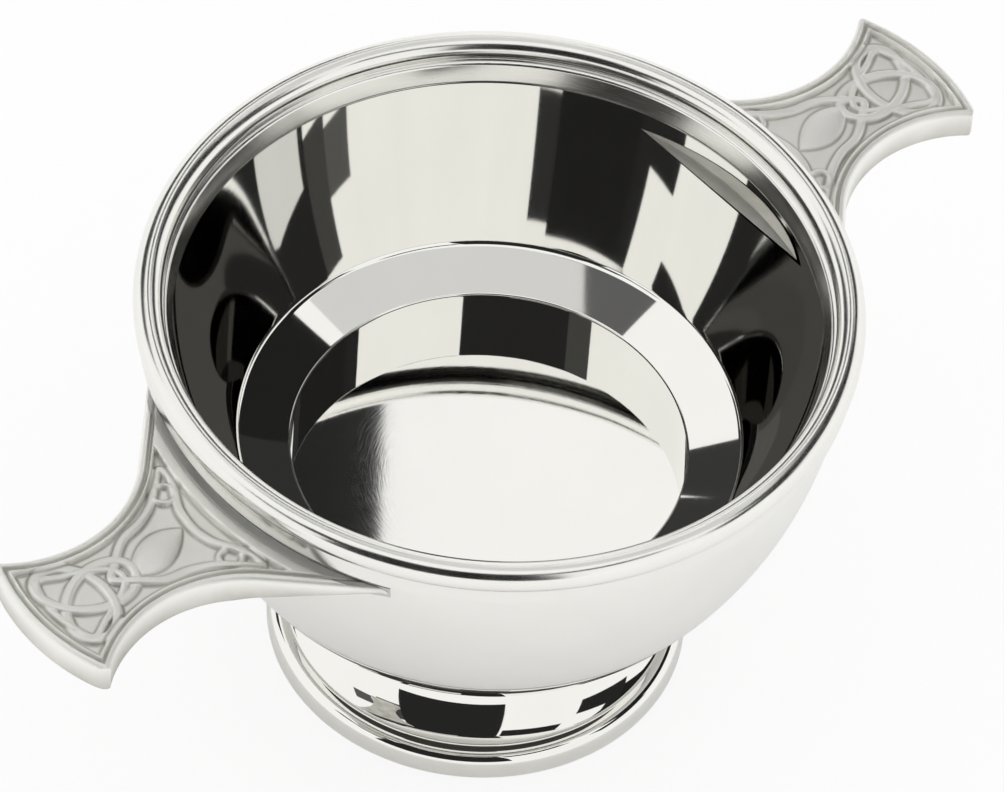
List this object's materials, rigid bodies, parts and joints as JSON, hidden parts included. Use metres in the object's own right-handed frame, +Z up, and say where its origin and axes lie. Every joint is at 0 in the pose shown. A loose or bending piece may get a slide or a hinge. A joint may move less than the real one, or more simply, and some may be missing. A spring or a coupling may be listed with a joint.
{
  "type": "quaich",
  "caption": "Shallow round pewter drinking bowl with a beaded rim, opposed flat fishtail lugs carved with interlace, and a hollow spool-shaped foot to stand on.",
  "frame": {"origin": "centre of the ring that the foot stands on, on the bowl's axis", "axes": "+Z up along the bowl's axis; the lugs lie along X, the left lug at -X; Y completes the right-handed frame"},
  "size_m": [0.1474, 0.09, 0.062],
  "materials": {
    "polished_pewter": "mirror-polished lead-free pewter with faint turning and hairline marks",
    "satin_pewter": "cast pewter, bead-blasted satin, darker in the recesses",
    "soft_solder": "dull wiped soft solder"
  },
  "bodies": {
    "root": {"bowl": "polished_pewter", "rim": "polished_pewter", "foot": "polished_pewter", "lug_left": "satin_pewter", "lug_right": "satin_pewter", "solder_rim": "soft_solder", "solder_foot": "soft_solder", "solder_lug_left": "soft_solder", "solder_lug_right": "soft_solder"}
  },
  "joints": []
}
